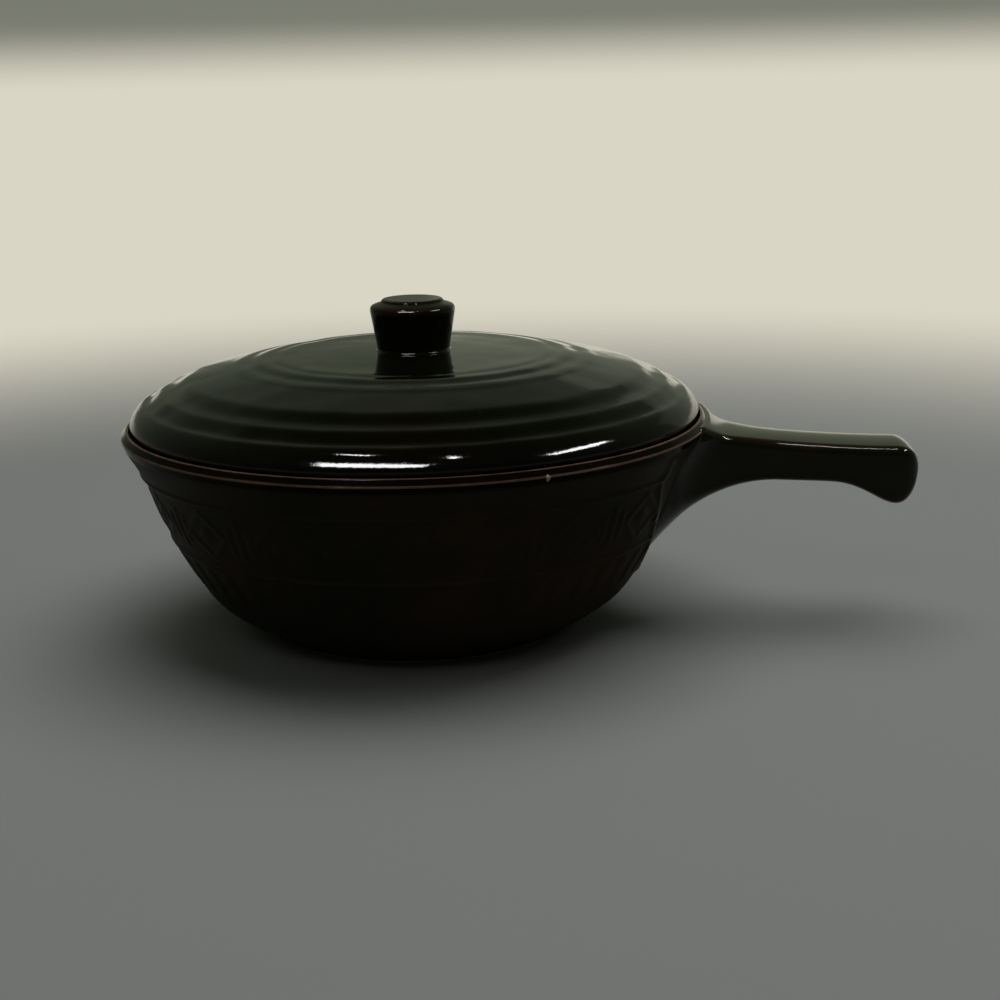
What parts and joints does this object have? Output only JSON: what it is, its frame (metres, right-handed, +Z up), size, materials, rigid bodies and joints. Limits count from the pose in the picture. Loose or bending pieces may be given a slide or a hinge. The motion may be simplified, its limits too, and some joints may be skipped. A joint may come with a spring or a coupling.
{
  "type": "covered casserole dish",
  "caption": "Round covered casserole dish in dark glazed stoneware, with a straight side handle, a loose domed lid with terraced rings and a tapered knob.",
  "frame": {"origin": "middle of the foot's underside, where the dish stands", "axes": "+Z up along the bowl's axis, +X along the handle away from the bowl"},
  "size_m": [0.2746, 0.2032, 0.1137],
  "materials": {
    "bowl_glaze": "gloss, dark brown, breaking red-brown where it thins on the rim and the raised lines",
    "handle_glaze": "gloss, dark brown, breaking red-brown on the edges",
    "lid_glaze": "high gloss, dark brown, with faint turning marks",
    "knob_glaze": "gloss, dark brown, breaking red-brown on the top and its edge"
  },
  "bodies": {
    "dish": {"bowl": "bowl_glaze", "handle": "handle_glaze"},
    "cover": {"lid": "lid_glaze", "knob": "knob_glaze"}
  },
  "joints": [
    {"name": "lid_lift", "type": "slide", "parent": "dish", "child": "cover", "axis": [0, 0, 1], "range_m": [0, 0.08]}
  ]
}
